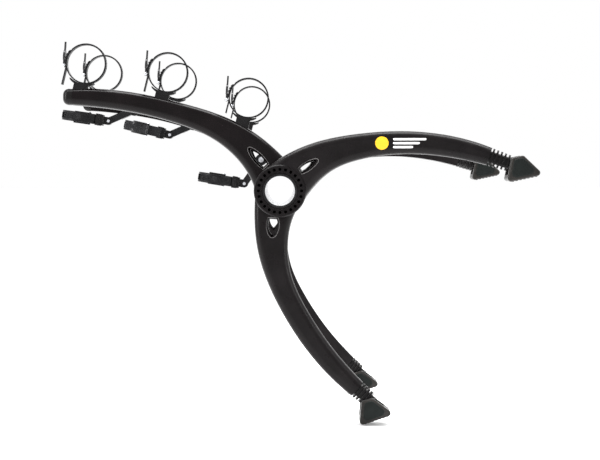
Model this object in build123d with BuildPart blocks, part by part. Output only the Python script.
from build123d import *
from math import atan2, cos, degrees, radians, sin
import os

# Trunk-mounted bike rack for three bikes: two bike arms and four legs on one hollow axle.
# Frame: the origin is the middle of the axle, on its axis.  +X points at the car, +Y to the
# car's left, +Z up.  Right-hand pieces are modelled first and mirrored to the left.

os.makedirs("parts", exist_ok=True)

# ---------------------------------------------------------------- driving dimensions (mm)
tube_outer_r = 30.0          # hollow axle
tube_wall = 3.0
arm_spacing = 320.0          # between the middles of the two bike arms
hub_outer_r = 48.6
arm_hub_width = 38.0         # hub ring widths along the axle
lower_hub_width = 38.0
upper_hub_width = 40.0
washer_thickness = 1.4
collar_width = 14.0
collar_outer_r = 37.0
end_ring_thickness = 1.6
end_ring_wall = 3.0
end_ring_sink = 1.6          # depth of the ring's groove in the tube
collar_round = 1.5
washer_inset = 2.0           # washer edge inside the hub rings

hub_clearance = 0.05         # running fit of each hub ring on the axle
face_gap = 0.2               # between parts that turn against each other
pin_clearance = 0.05         # running fit of the small pins

beam_thickness = 34.0        # width of an arm or leg along the axle
beam_round = 13.0            # rounding of the four long edges
hub_edge_round = 3.0

# A member's centreline leaves the hub at a heading and turns through two arcs.  Depths are
# pairs of distance along the centreline and depth of the section there.
arm_heading = 114.8
arm_arcs = ((247.4, 43.6), (726.8, 21.4))
arm_length = 455.0
arm_depths = ((0, 95.0), (60, 71.0), (110, 59.0), (170, 48.0), (250, 40.0), (340, 37.5), (455, 31.0))

upper_heading = 51.55
upper_arcs = ((217.5, -38.1), (478.7, -33.5))
upper_length = 415.0
upper_depths = ((0, 95.0), (60, 76.0), (110, 59.0), (170, 48.0), (250, 42.6), (340, 39.5), (415, 33.5))
upper_splay = 6.5            # degrees outward from the hub

lower_heading = -110.2
lower_arcs = ((244.3, 43.6), (540.6, 28.1))
lower_length = 425.0
lower_depths = ((0, 95.0), (60, 69.0), (110, 57.0), (170, 46.5), (250, 42.8), (340, 39.8), (425, 33.0))
lower_splay = 2.3

# Leaf-shaped window through each member, just outside its hub ring
leaf_gap = 3.5               # wall left between the hub ring and the window
arm_leaf = (50.0, 20.0)      # length, width at the face
upper_leaf = (40.0, 17.0)
lower_leaf = (38.0, 25.0)
leaf_bevel = 3.5
leaf_bevel_depth = 8.0

# Rings of pockets in the outer hub faces
pocket_count = 24
pocket_circle_r = 40.0
pocket_size = (6.0, 5.4)
pocket_depth = 5.0
notch_length = 3.6
notch_width = 3.4
notch_depth = 2.5

# Arm tip cap
cap_length = 17.5
cap_round = 11.0

# Hold-down loops on the arms: centre of each loop (x, z)
loop_centres = ((-367.6, 239.7), (-212.7, 223.5), (-59.7, 175.2))
strap_width = 20.0
strap_thickness = 2.3
loop_inner_r = 35.7
saddle_lean = -14.0          # the saddle sits this far round from straight below
saddle_width = 24.0
saddle_span = 47.0           # between the two upswept wing tips
saddle_rise = 5.5            # wing tips above the middle of the cradle
saddle_thickness = 5.5
saddle_tip = 3.0
pedestal_length = 26.0
pedestal_width = 22.0
pedestal_depth = 34.0
tail_lengths = (43.0, 40.0, 32.0)
tail_start = 6.0             # below the loop's middle
tail_inset = 1.8             # tail inside the loop's widest point, clear of the lever
screw_r = 2.5
screw_head_r = 4.5
screw_head_height = 2.0
screw_recess = 1.5
screw_length = 22.0

# Ratchet buckle on each loop
buckle_start = 152.0         # degrees round the loop, from the saddle's own sideways line
buckle_end = 188.0
buckle_thickness = 1.5
buckle_width = 25.0
lever_pin_r = 1.5
lever_pin_angle = 198.0
lever_pin_offset = 4.2       # outside the strap
lever_boss_r = 3.0
lever_length = 30.0
lever_thickness = 3.0
lever_paddle_width = 25.0
lever_neck_width = 18.0
lever_lean = 100.0
tab_length = 16.0
tab_width = 8.0
paddle_start = 8.0           # end of the lever's straight neck
ear_gap = 0.3
ear_start = 177.0            # degrees round the loop where the ears rise
ear_sink = 1.0               # root of the ears inside the plate

# Ribbed neck and swivelling shoe on each leg
neck_core = (21.0, 24.0)     # depth, width
rib_width = 30.0
rib_thickness = 3.4
rib_depths = (33.0, 32.5, 32.0, 31.0, 30.0)
rib_round = 9.0
rib_start = 3.0
neck_core_round = 6.0
upper_neck = 52.0
upper_rib_pitch = 7.6
lower_neck = 40.0
lower_rib_count = 4
lower_rib_pitch = 6.8
knuckle_r = 10.5
shoe_width = 56.0
shoe_length = 62.0
shoe_height = 42.0
shoe_top = (15.0, 37.0)      # heel and toe ends of the shoe's top
shoe_round = 6.0
shoe_side_round = 4.0
shoe_slot_gap = 2.4
shoe_floor_gap = 2.4         # below the knuckle, so that the ribs clear at full swivel
ankle_pin_r = 4.0
ankle_pin_length = 44.0
upper_ankle = (23.5, 25.3)   # ankle axis, from the heel end of the sole
upper_shoe_tilt = 11.9
lower_ankle = (35.1, 29.6)
lower_shoe_tilt = 18.6

# Anti-sway holders inboard of the left arm: hinge (x, z), root on the arm (x, z), tilt
sway_y = 134.0
sway_units = (((-356.0, 140.0), (-303.0, 163.0), 8.0, 1),
              ((-229.5, 111.5), (-180.0, 133.0), 13.0, -1),
              ((-75.0, 10.4), (-40.0, 60.0), 9.0, 1))
sway_reach = 58.0            # hinge axis to loop axis
sway_knuckle_r = 8.0
sway_knuckle_width = 8.0
sway_ear_thickness = 3.6
sway_pin_r = 3.0
strut_depth = 14.0
strut_gusset_width = 16.0
strut_foot_r = 12.0
strut_bolt_r = 3.0
strut_bolt_head_r = 5.5
strut_bolt_head = 3.0
strut_bolt_grip = 24.0
gusset_start = 26.0          # from the hinge to the wide part of the strut
sway_block_depth = 4.0
sway_tail = 34.0
sway_screw_length = 8.0

# ---------------------------------------------------------------- derived layout
tube_inner_r = tube_outer_r - tube_wall
arm_y = arm_spacing / 2
arm_inner_y = arm_y - arm_hub_width / 2
arm_outer_y = arm_y + arm_hub_width / 2
lower_inner_y = arm_outer_y + washer_thickness + 2 * face_gap
lower_y = lower_inner_y + lower_hub_width / 2
upper_inner_y = lower_inner_y + lower_hub_width + washer_thickness + 2 * face_gap
upper_y = upper_inner_y + upper_hub_width / 2
hub_face_y = upper_inner_y + upper_hub_width
end_ring_y = hub_face_y + face_gap
tube_length = 2 * (end_ring_y + end_ring_thickness + 0.6)
strap_outer_r = loop_inner_r + strap_thickness
saddle_floor = strap_outer_r


def direction(angle):
    """Unit vector in a sketch at an angle in degrees."""
    return Vector(cos(radians(angle)), sin(radians(angle)))


def side_plane(x, y, z, turn=0.0):
    """Plane seen from the right side: sketch x along +X and sketch y along +Z, then turned."""
    across = (cos(radians(turn)), 0, sin(radians(turn)))
    return Plane(origin=(x, y, z), x_dir=across, z_dir=(0, -1, 0))


def centreline(heading, arcs):
    """Two tangent arcs from the hub's centre; a negative angle turns clockwise."""
    with BuildLine() as line:
        first = JernArc((0, 0), direction(heading), arcs[0][0], arcs[0][1])
        JernArc(first @ 1, first % 1, arcs[1][0], arcs[1][1])
    return line.wire()


def on_line(line, distance):
    """Point and heading at a distance along a centreline."""
    share = distance / line.length
    point = line.position_at(share)
    tangent = line.tangent_at(share)
    return Vector(point.X, point.Y), degrees(atan2(tangent.Y, tangent.X))


class Member:
    """Everything that places one arm or leg: its plane, centreline and tip."""

    def __init__(self, heading, arcs, length, depths, y, splay=0.0):
        flat_line = centreline(heading, arcs)
        tip = on_line(flat_line, length)[0]
        self.chord = degrees(atan2(tip.Y, tip.X))
        self.line = centreline(heading - self.chord, arcs)
        self.length = length
        self.depths = depths
        self.y = y
        along = (cos(radians(self.chord)) * cos(radians(splay)), -sin(radians(splay)),
                 sin(radians(self.chord)) * cos(radians(splay)))
        normal = (-cos(radians(self.chord)) * sin(radians(splay)), -cos(radians(splay)),
                  -sin(radians(self.chord)) * sin(radians(splay)))
        self.plane = Plane(origin=(0, -y, 0), x_dir=along, z_dir=normal)

    def place(self, distance, sideways=0.0):
        """World point at a distance along the centreline, set sideways in its plane."""
        point, heading = on_line(self.line, min(distance, self.length))
        point += direction(heading) * max(0.0, distance - self.length)
        point += direction(heading + 90) * sideways
        return self.plane.from_local_coords(Vector(point.X, point.Y, 0))

    def section_plane(self, distance):
        """Plane across the member: sketch x along the depth, sketch y along the axle."""
        heading = on_line(self.line, min(distance, self.length))[1]
        across = direction(heading + 90)
        origin = self.plane.from_local_coords(Vector(0, 0, 0))
        depth_way = self.plane.from_local_coords(Vector(across.X, across.Y, 0)) - origin
        ahead = direction(heading)
        run_way = self.plane.from_local_coords(Vector(ahead.X, ahead.Y, 0)) - origin
        return Plane(origin=self.place(distance), x_dir=depth_way, z_dir=run_way)

    def edge_points(self, side):
        """Points of one long edge, half the depth off the centreline."""
        points = []
        for distance, depth in self.depths:
            point, heading = on_line(self.line, min(distance, self.length))
            points.append(point + direction(heading + 90) * (side * depth / 2))
        return points


arm = Member(arm_heading, arm_arcs, arm_length, arm_depths, arm_y)
upper = Member(upper_heading, upper_arcs, upper_length, upper_depths, upper_y, upper_splay)
lower = Member(lower_heading, lower_arcs, lower_length, lower_depths, lower_y, lower_splay)


def leaf_sketch(length, width):
    """Pointed leaf with a blunt end at the origin, pointing along +x."""
    with BuildSketch() as leaf:
        with BuildLine():
            upper_side = ThreePointArc((0, 0.38 * width), (0.36 * length, 0.5 * width), (length, 0))
            lower_side = ThreePointArc((length, 0), (0.36 * length, -0.5 * width), (0, -0.38 * width))
            Line(lower_side @ 1, upper_side @ 0)
        make_face()
        fillet(leaf.vertices(), 0.06 * width)
    return leaf.sketch


def member_blank(member, hub_width, leaf):
    """Beam, hub ring and bevelled leaf window of one arm or leg."""
    blunt = on_line(member.line, hub_outer_r + leaf_gap)[0]
    leaf_end = on_line(member.line, hub_outer_r + leaf_gap + leaf[0])[0]
    leaf_turn = degrees(atan2(leaf_end.Y - blunt.Y, leaf_end.X - blunt.X))
    hub_plane = Plane.XZ.offset(member.y)
    with BuildPart() as ring:
        with BuildSketch(hub_plane):
            Circle(hub_outer_r)
        extrude(amount=hub_width / 2, both=True)
        fillet(ring.edges(), hub_edge_round)
    with BuildPart() as blank:
        with BuildSketch(member.plane):
            with BuildLine():
                top = Spline(*member.edge_points(1))
                low = Spline(*member.edge_points(-1))
                Line(top @ 0, low @ 0)
                Line(top @ 1, low @ 1)
            make_face()
        extrude(amount=beam_thickness / 2, both=True)
        fillet(blank.edges().sort_by(SortBy.LENGTH)[-4:], beam_round)
        for side in (1, -1):
            with BuildSketch(hub_plane.offset(side * hub_width / 2)):
                Circle(hub_outer_r)
            extrude(amount=side * hub_width, mode=Mode.SUBTRACT)
        add(ring.part)
        with BuildSketch(hub_plane):
            Circle(tube_outer_r + hub_clearance)
        extrude(amount=hub_width, both=True, mode=Mode.SUBTRACT)
        small = (leaf[0] - 2.4 * leaf_bevel, leaf[1] - 2 * leaf_bevel)
        with BuildSketch(member.plane):
            with Locations(Location((blunt.X, blunt.Y), leaf_turn)):
                with Locations((leaf_bevel, 0)):
                    add(leaf_sketch(*small))
        extrude(amount=beam_thickness, both=True, mode=Mode.SUBTRACT)
        for side in (1, -1):
            face_plane = member.plane.offset(side * (beam_thickness / 2 + 0.01))
            with BuildSketch(face_plane):
                with Locations(Location((blunt.X, blunt.Y), leaf_turn)):
                    add(leaf_sketch(*leaf))
            with BuildSketch(face_plane.offset(-side * leaf_bevel_depth)):
                with Locations(Location((blunt.X, blunt.Y), leaf_turn)):
                    with Locations((leaf_bevel, 0)):
                        add(leaf_sketch(*small))
            loft(mode=Mode.SUBTRACT)
    return blank.part


# ---------------------------------------------------------------- axle
with BuildPart() as axle_tube:
    with BuildSketch(Plane.XZ):
        Circle(tube_outer_r)
        Circle(tube_inner_r, mode=Mode.SUBTRACT)
    extrude(amount=tube_length / 2, both=True)
    for end_face_y in (end_ring_y, -end_ring_y - end_ring_thickness):
        with BuildSketch(Plane.XZ.offset(end_face_y)):
            Circle(tube_outer_r + 1)
            Circle(tube_outer_r - end_ring_sink, mode=Mode.SUBTRACT)
        extrude(amount=end_ring_thickness, mode=Mode.SUBTRACT)
axle_tube.part.label = "axle_tube"

with BuildPart() as axle_end_rings:
    for end_face_y in (end_ring_y, -end_ring_y - end_ring_thickness):
        with BuildSketch(Plane.XZ.offset(end_face_y)):
            Circle(tube_outer_r + end_ring_wall - end_ring_sink)
            Circle(tube_outer_r - end_ring_sink, mode=Mode.SUBTRACT)
        extrude(amount=end_ring_thickness)
axle_end_rings.part.label = "axle_end_rings"

with BuildPart() as axle_collars:
    for collar_y in (arm_inner_y - face_gap - collar_width, -arm_inner_y + face_gap):
        with BuildSketch(Plane.XZ.offset(collar_y)):
            Circle(collar_outer_r)
        extrude(amount=collar_width)
    fillet(axle_collars.edges().filter_by(GeomType.CIRCLE), collar_round)
    with BuildSketch(Plane.XZ):
        Circle(tube_outer_r)
    extrude(amount=tube_length, both=True, mode=Mode.SUBTRACT)
axle_collars.part.label = "axle_collars"

with BuildPart() as hub_washers:
    inner_washer_y = arm_outer_y + face_gap
    outer_washer_y = upper_inner_y - face_gap - washer_thickness
    for face_y in (inner_washer_y, outer_washer_y):
        for start_y in (face_y, -face_y - washer_thickness):
            with BuildSketch(Plane.XZ.offset(start_y)):
                Circle(hub_outer_r - washer_inset)
                Circle(tube_outer_r + hub_clearance, mode=Mode.SUBTRACT)
            extrude(amount=washer_thickness)
hub_washers.part.label = "hub_washers"


# ---------------------------------------------------------------- hold-down loops
def strap_loop(plane, tail):
    """Closed strap loop with its straight tail."""
    tail_x = -strap_outer_r + tail_inset + strap_thickness / 2
    with BuildPart() as strap:
        with BuildSketch(plane):
            Circle(strap_outer_r)
            with Locations((tail_x, -tail_start - tail / 2)):
                Rectangle(strap_thickness, tail)
            Circle(loop_inner_r, mode=Mode.SUBTRACT)
        extrude(amount=strap_width / 2, both=True)
    return strap.part


def saddle_cradle(plane):
    """Two upswept wings under the loop; the strap lies on the middle."""
    half = saddle_span / 2
    with BuildPart() as cradle:
        with BuildSketch(plane):
            with BuildLine():
                top = ThreePointArc((-half, saddle_rise - saddle_floor), (0, -saddle_floor),
                                    (half, saddle_rise - saddle_floor))
                low = ThreePointArc((-half + 1, saddle_rise - saddle_floor - saddle_tip),
                                    (0, -saddle_floor - saddle_thickness),
                                    (half - 1, saddle_rise - saddle_floor - saddle_tip))
                Line(top @ 0, low @ 0)
                Line(top @ 1, low @ 1)
            make_face()
        extrude(amount=saddle_width / 2, both=True)
    return cradle.part


def saddle_pedestal(plane, depth):
    """Block under the cradle, as deep as it is asked to be."""
    with BuildPart() as pedestal:
        with BuildSketch(plane):
            with Locations((0, -saddle_floor - saddle_thickness / 2 - depth / 2)):
                Rectangle(pedestal_length, depth)
        extrude(amount=pedestal_width / 2, both=True)
    return pedestal.part


def saddle_screw(plane, shank=screw_length):
    """Pan-head screw down the middle of a saddle, below the strap."""
    head_top = plane.from_local_coords(Vector(0, -saddle_floor - screw_recess, 0))
    screw_plane = Plane(origin=head_top, x_dir=plane.x_dir, z_dir=-plane.y_dir)
    with BuildPart() as screw:
        with BuildSketch(screw_plane):
            Circle(screw_head_r)
        extrude(amount=screw_head_height)
        with BuildSketch(screw_plane):
            Circle(screw_r)
        extrude(amount=shank)
    return screw.part


def screw_access(plane):
    """Clear hole from the strap down to the screw's head."""
    head_top = plane.from_local_coords(Vector(0, -saddle_floor + 1, 0))
    with BuildPart() as access:
        with BuildSketch(Plane(origin=head_top, x_dir=plane.x_dir, z_dir=-plane.y_dir)):
            Circle(screw_head_r)
        extrude(amount=screw_recess + 1)
    return access.part


def pin_point():
    """Lever pin's place in the loop's own plane."""
    return direction(lever_pin_angle) * (strap_outer_r + lever_pin_offset)


def lever_pin(plane):
    """Small pin across the buckle's two ears."""
    pin = pin_point()
    with BuildPart() as pivot:
        with BuildSketch(plane):
            with Locations((pin.X, pin.Y)):
                Circle(lever_pin_r)
        extrude(amount=buckle_width / 2 + 0.6, both=True)
    return pivot.part


def buckle_base(plane):
    """Curved plate on the strap with two ears that hold the lever's pin."""
    pin = pin_point()
    outer = strap_outer_r + buckle_thickness
    middle = (buckle_start + buckle_end) / 2
    with BuildPart() as base:
        with BuildSketch(plane):
            with BuildLine():
                back = ThreePointArc(direction(buckle_start) * outer, direction(middle) * outer,
                                     direction(buckle_end) * outer)
                front = ThreePointArc(direction(buckle_start) * strap_outer_r,
                                      direction(middle) * strap_outer_r,
                                      direction(buckle_end) * strap_outer_r)
                Line(back @ 0, front @ 0)
                Line(back @ 1, front @ 1)
            make_face()
        extrude(amount=buckle_width / 2, both=True)
        ear_inner = lever_neck_width / 2 + ear_gap
        for side in (1, -1):
            with BuildSketch(plane.offset(side * ear_inner)):
                with BuildLine():
                    Polyline(direction(ear_start) * (outer - ear_sink),
                             direction(buckle_end) * (outer - ear_sink),
                             pin + direction(lever_pin_angle + 90) * lever_boss_r,
                             pin + direction(lever_pin_angle) * lever_boss_r, close=True)
                make_face()
                with Locations((pin.X, pin.Y)):
                    Circle(lever_boss_r)
            extrude(amount=side * (buckle_width / 2 - ear_inner))
        with BuildSketch(plane):
            with Locations((pin.X, pin.Y)):
                Circle(lever_pin_r)
        extrude(amount=buckle_width, both=True, mode=Mode.SUBTRACT)
    return base.part


def ratchet_lever(plane):
    """Paddle lever on its pin, with the pull tab at the free end."""
    pin = pin_point()
    tip = pin + direction(lever_lean) * lever_length
    lever_plane = Plane(origin=plane.from_local_coords(Vector(pin.X, pin.Y, 0)),
                        x_dir=plane.from_local_coords(Vector(tip.X, tip.Y, 0))
                        - plane.from_local_coords(Vector(pin.X, pin.Y, 0)),
                        z_dir=plane.z_dir)
    face_plane = Plane(origin=lever_plane.origin, x_dir=lever_plane.x_dir,
                       z_dir=lever_plane.y_dir)
    paddle_r = lever_paddle_width / 2
    with BuildPart() as lever:
        with BuildSketch(face_plane):
            with Locations((lever_length - paddle_r, 0)):
                Circle(paddle_r)
            with Locations(((paddle_start + paddle_r) / 2, 0)):
                Rectangle(paddle_start + paddle_r, lever_neck_width)
            with Locations((lever_length + tab_length / 2 - 1, 0)):
                Rectangle(tab_length, tab_width)
        extrude(amount=lever_thickness / 2, both=True)
        with BuildSketch(lever_plane):
            Circle(lever_boss_r)
        extrude(amount=lever_neck_width / 2, both=True)
        with BuildSketch(lever_plane):
            Circle(lever_pin_r + pin_clearance)
        extrude(amount=buckle_width, both=True, mode=Mode.SUBTRACT)
    return lever.part


loop_planes = [side_plane(x, -arm_y, z, saddle_lean) for x, z in loop_centres]
right_straps = [strap_loop(plane, tail) for plane, tail in zip(loop_planes, tail_lengths)]

# ---------------------------------------------------------------- bike arms
arm_blank = member_blank(arm, arm_hub_width, arm_leaf)

with BuildPart() as right_saddle_screws:
    for plane in loop_planes:
        add(saddle_screw(plane))
right_saddle_screws.part.label = "right_saddle_screws"

with BuildPart() as right_arm:
    add(arm_blank)
    add(right_saddle_screws.part, mode=Mode.SUBTRACT)
right_arm.part.label = "right_arm"

with BuildPart() as right_arm_cap:
    with BuildSketch(arm.section_plane(arm_length)):
        RectangleRounded(arm_depths[-1][1], beam_thickness, beam_round)
    extrude(amount=cap_length)
    fillet(right_arm_cap.faces().sort_by(Axis.X)[0].edges(), cap_round)
right_arm_cap.part.label = "right_arm_cap"

with BuildPart() as right_saddles:
    for plane in loop_planes:
        add(saddle_cradle(plane))
        add(saddle_pedestal(plane, pedestal_depth))
    add(arm_blank, mode=Mode.SUBTRACT)
    add(right_arm_cap.part, mode=Mode.SUBTRACT)
    add(right_saddle_screws.part, mode=Mode.SUBTRACT)
    for plane in loop_planes:
        add(screw_access(plane), mode=Mode.SUBTRACT)
right_saddles.part.label = "right_saddles"

with BuildPart() as right_strap_loops:
    for strap in right_straps:
        add(strap)
right_strap_loops.part.label = "right_strap_loops"

with BuildPart() as right_buckles:
    for plane in loop_planes:
        add(buckle_base(plane))
right_buckles.part.label = "right_buckles"

with BuildPart() as right_lever_pins:
    for plane in loop_planes:
        add(lever_pin(plane))
right_lever_pins.part.label = "right_lever_pins"

right_levers = []
for number, plane in enumerate(loop_planes, start=1):
    with BuildPart() as right_lever:
        add(ratchet_lever(plane))
    right_lever.part.label = f"right_lever_{number}"
    right_levers.append(right_lever.part)


# ---------------------------------------------------------------- legs
with BuildPart() as right_upper_leg:
    add(member_blank(upper, upper_hub_width, upper_leaf))
    with BuildSketch(Plane.XZ.offset(hub_face_y)):
        with PolarLocations(pocket_circle_r, pocket_count):
            Rectangle(*pocket_size)
    extrude(amount=-pocket_depth, mode=Mode.SUBTRACT)
    with BuildSketch(Plane.XZ.offset(hub_face_y)):
        with PolarLocations(tube_outer_r + notch_length / 2, pocket_count):
            Rectangle(notch_length, notch_width)
    extrude(amount=-notch_depth, mode=Mode.SUBTRACT)
right_upper_leg.part.label = "right_upper_leg"

with BuildPart() as right_lower_leg:
    add(member_blank(lower, lower_hub_width, lower_leaf))
right_lower_leg.part.label = "right_lower_leg"


def ribbed_neck(member, neck, ribs, pitch):
    """Core with rubber ribs between a leg's end and the knuckle in its shoe."""
    ankle = member.place(member.length + neck)
    with BuildPart() as ribbed:
        with BuildSketch(member.section_plane(member.length)):
            RectangleRounded(*neck_core, neck_core_round)
        extrude(amount=neck - knuckle_r / 2)
        for index in range(ribs):
            at = member.section_plane(member.length)
            with BuildSketch(at.offset(rib_start + index * pitch)):
                RectangleRounded(rib_depths[index], rib_width, rib_round)
            extrude(amount=rib_thickness)
        with BuildSketch(side_plane(ankle.X, ankle.Y, ankle.Z)):
            Circle(knuckle_r)
        extrude(amount=rib_width / 2, both=True)
        with BuildSketch(side_plane(ankle.X, ankle.Y, ankle.Z)):
            Circle(ankle_pin_r + pin_clearance)
        extrude(amount=rib_width, both=True, mode=Mode.SUBTRACT)
    return ribbed.part


def shoe_plane(ankle, ankle_in_shoe, tilt):
    """Plane with its origin at the heel end of a shoe's sole."""
    turned = side_plane(ankle.X, ankle.Y, ankle.Z, tilt)
    heel = turned.from_local_coords(Vector(-ankle_in_shoe[0], -ankle_in_shoe[1], 0))
    return side_plane(heel.X, heel.Y, heel.Z, tilt)


def rubber_shoe(plane, ankle_in_shoe):
    """Wedge shoe with a slot between two cheeks for the knuckle."""
    slot_floor = ankle_in_shoe[1] - knuckle_r - shoe_floor_gap
    with BuildPart() as shoe:
        with BuildSketch(plane) as outline:
            with BuildLine():
                Polyline((-3, 0), (shoe_length + 4, 0), (shoe_top[1], shoe_height),
                         (shoe_top[0], shoe_height), close=True)
            make_face()
            fillet(outline.vertices(), shoe_round)
        extrude(amount=shoe_width / 2, both=True)
        side_faces = shoe.faces().filter_by(Axis.Y)
        fillet(side_faces.edges(), shoe_side_round)
        with BuildSketch(plane):
            with Locations((shoe_length / 2, slot_floor + shoe_height / 2)):
                Rectangle(2 * shoe_length, shoe_height)
        extrude(amount=rib_width / 2 + shoe_slot_gap, both=True, mode=Mode.SUBTRACT)
        with BuildSketch(plane):
            with Locations(ankle_in_shoe):
                Circle(ankle_pin_r)
        extrude(amount=ankle_pin_length / 2, both=True, mode=Mode.SUBTRACT)
    return shoe.part


def ankle_pin(ankle):
    """Steel pin moulded into the shoe's two cheeks."""
    with BuildPart() as pin:
        with BuildSketch(side_plane(ankle.X, ankle.Y, ankle.Z)):
            Circle(ankle_pin_r)
        extrude(amount=ankle_pin_length / 2, both=True)
    return pin.part


upper_ankle_point = upper.place(upper_length + upper_neck)
lower_ankle_point = lower.place(lower_length + lower_neck)

with BuildPart() as right_upper_neck:
    add(ribbed_neck(upper, upper_neck, len(rib_depths), upper_rib_pitch))
right_upper_neck.part.label = "right_upper_neck"

with BuildPart() as right_lower_neck:
    add(ribbed_neck(lower, lower_neck, lower_rib_count, lower_rib_pitch))
right_lower_neck.part.label = "right_lower_neck"

with BuildPart() as right_upper_shoe:
    add(rubber_shoe(shoe_plane(upper_ankle_point, upper_ankle, upper_shoe_tilt), upper_ankle))
right_upper_shoe.part.label = "right_upper_shoe"

with BuildPart() as right_lower_shoe:
    add(rubber_shoe(shoe_plane(lower_ankle_point, lower_ankle, lower_shoe_tilt), lower_ankle))
right_lower_shoe.part.label = "right_lower_shoe"

with BuildPart() as right_upper_pin:
    add(ankle_pin(upper_ankle_point))
right_upper_pin.part.label = "right_upper_pin"

with BuildPart() as right_lower_pin:
    add(ankle_pin(lower_ankle_point))
right_lower_pin.part.label = "right_lower_pin"

# ---------------------------------------------------------------- left side, mirrored
right_side = [right_arm, right_arm_cap, right_saddles, right_saddle_screws, right_strap_loops,
              right_buckles, right_lever_pins, right_upper_leg, right_lower_leg,
              right_upper_neck, right_lower_neck, right_upper_shoe, right_lower_shoe,
              right_upper_pin, right_lower_pin]
right_parts = [piece.part for piece in right_side] + right_levers
left_parts = {}
for right_part in right_parts:
    with BuildPart() as left_piece:
        mirror(right_part, about=Plane.XZ)
    left_piece.part.label = right_part.label.replace("right", "left")
    left_parts[left_piece.part.label] = left_piece.part


# ---------------------------------------------------------------- anti-sway holders
def sway_plane(hinge, tilt, flip):
    """Loop plane of one holder: sketch y points away from its hinge."""
    away = Vector(-cos(radians(tilt)), 0, sin(radians(tilt)))
    origin = Vector(hinge[0], sway_y, hinge[1]) + away * sway_reach
    across = Vector(0, -flip, 0)
    return Plane(origin=origin, x_dir=across, z_dir=across.cross(away))


def sway_hinge_plane(hinge):
    """Plane across the hinge axis, seen from the right side."""
    return side_plane(hinge[0], sway_y, hinge[1])


def sway_saddle(plane, hinge):
    """Cradle, block and two ears that turn on the bracket's knuckle."""
    across = sway_hinge_plane(hinge)
    block_end = saddle_floor + saddle_thickness + sway_block_depth
    with BuildPart() as holder:
        add(saddle_cradle(plane))
        add(saddle_pedestal(plane, sway_block_depth + saddle_thickness / 2))
        for side in (1, -1):
            inner = sway_knuckle_width / 2 + face_gap
            with BuildSketch(across.offset(side * inner)):
                Circle(sway_knuckle_r)
            extrude(amount=side * sway_ear_thickness)
            ear_middle = plane.from_local_coords(Vector(0, -(block_end + sway_reach) / 2, 0))
            ear_plane = Plane(origin=(ear_middle.X, sway_y, ear_middle.Z), x_dir=plane.y_dir,
                              z_dir=(0, -1, 0))
            with BuildSketch(ear_plane.offset(side * inner)):
                Rectangle(sway_reach - block_end + 2, 2 * sway_knuckle_r)
            extrude(amount=side * sway_ear_thickness)
        with BuildSketch(across):
            Circle(sway_pin_r)
        extrude(amount=saddle_width, both=True, mode=Mode.SUBTRACT)
        add(saddle_screw(plane, sway_screw_length), mode=Mode.SUBTRACT)
        add(screw_access(plane), mode=Mode.SUBTRACT)
    return holder.part


def sway_bracket(hinge, root):
    """Strut from the arm's inboard face to the hinge, with a gusset under the arm."""
    across = sway_hinge_plane(hinge)
    offset = (root[0] - hinge[0], root[1] - hinge[1])
    reach = (offset[0] ** 2 + offset[1] ** 2) ** 0.5
    turn = degrees(atan2(offset[1], offset[0]))
    with BuildPart() as bracket:
        with BuildSketch(across):
            Circle(sway_knuckle_r)
            with Locations(Location((0, 0), turn)):
                with Locations((reach / 2, 0)):
                    Rectangle(reach, strut_depth)
            with Locations(offset):
                Circle(strut_foot_r)
        extrude(amount=sway_knuckle_width / 2, both=True)
        with BuildSketch(across.offset(-sway_knuckle_width / 2)):
            with Locations(Location((0, 0), turn)):
                with Locations(((reach + gusset_start) / 2, 0)):
                    Rectangle(reach - gusset_start, strut_depth)
            with Locations(offset):
                Circle(strut_foot_r)
        extrude(amount=-strut_gusset_width)
        with BuildSketch(across):
            Circle(sway_pin_r + pin_clearance)
        extrude(amount=saddle_width, both=True, mode=Mode.SUBTRACT)
        add(left_parts["left_arm"], mode=Mode.SUBTRACT)
        add(axle_keepout, mode=Mode.SUBTRACT)
        add(strut_bolt(root), mode=Mode.SUBTRACT)
    return bracket.part


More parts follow.
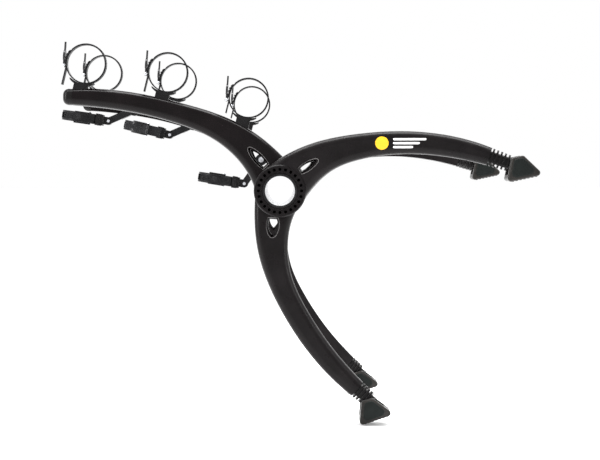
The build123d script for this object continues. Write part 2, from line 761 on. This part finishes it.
def strut_bolt(root):
    """Bolt from inboard through the strut's foot into the arm."""
    head_y = sway_y - sway_knuckle_width / 2
    with BuildPart() as bolt:
        with BuildSketch(Plane(origin=(root[0], head_y, root[1]), x_dir=(1, 0, 0), z_dir=(0, -1, 0))):
            Circle(strut_bolt_head_r)
        extrude(amount=strut_bolt_head)
        with BuildSketch(Plane(origin=(root[0], head_y, root[1]), x_dir=(1, 0, 0), z_dir=(0, 1, 0))):
            Circle(strut_bolt_r)
        extrude(amount=strut_bolt_grip)
    return bolt.part


with BuildPart() as keepout:
    with BuildSketch(Plane.XZ):
        Circle(hub_outer_r + face_gap)
    extrude(amount=tube_length, both=True)
axle_keepout = keepout.part

with BuildPart() as sway_strut_bolts:
    for hinge, root, tilt, flip in sway_units:
        add(strut_bolt(root))
sway_strut_bolts.part.label = "sway_strut_bolts"

with BuildPart() as bolted_left_arm:
    add(left_parts["left_arm"])
    add(sway_strut_bolts.part, mode=Mode.SUBTRACT)
bolted_left_arm.part.label = "left_arm"

sway_parts = []
for number, (hinge, root, tilt, flip) in enumerate(sway_units, start=1):
    holder_plane = sway_plane(hinge, tilt, flip)
    holder_strap = strap_loop(holder_plane, sway_tail)
    with BuildPart() as bracket:
        add(sway_bracket(hinge, root))
    bracket.part.label = f"sway_bracket_{number}"
    with BuildPart() as holder:
        add(sway_saddle(holder_plane, hinge))
    holder.part.label = f"sway_saddle_{number}"
    with BuildPart() as strap:
        add(holder_strap)
    strap.part.label = f"sway_strap_{number}"
    with BuildPart() as buckle:
        add(buckle_base(holder_plane))
    buckle.part.label = f"sway_buckle_{number}"
    with BuildPart() as lever:
        add(ratchet_lever(holder_plane))
    lever.part.label = f"sway_lever_{number}"
    with BuildPart() as hardware:
        add(lever_pin(holder_plane))
        add(saddle_screw(holder_plane, sway_screw_length))
        with BuildSketch(sway_hinge_plane(hinge)):
            Circle(sway_pin_r)
        extrude(amount=sway_knuckle_width / 2 + face_gap + sway_ear_thickness, both=True)
    hardware.part.label = f"sway_pins_{number}"
    sway_parts += [bracket.part, holder.part, strap.part, buckle.part, lever.part, hardware.part]

# ---------------------------------------------------------------- export
left_parts["left_arm"] = bolted_left_arm.part
axle_parts = [axle_tube.part, axle_end_rings.part, axle_collars.part, hub_washers.part]
all_parts = axle_parts + right_parts + list(left_parts.values())
all_parts += [sway_strut_bolts.part] + sway_parts
for piece in all_parts:
    export_step(piece, f"parts/{piece.label}.step")
print(len(all_parts), "sub-parts")
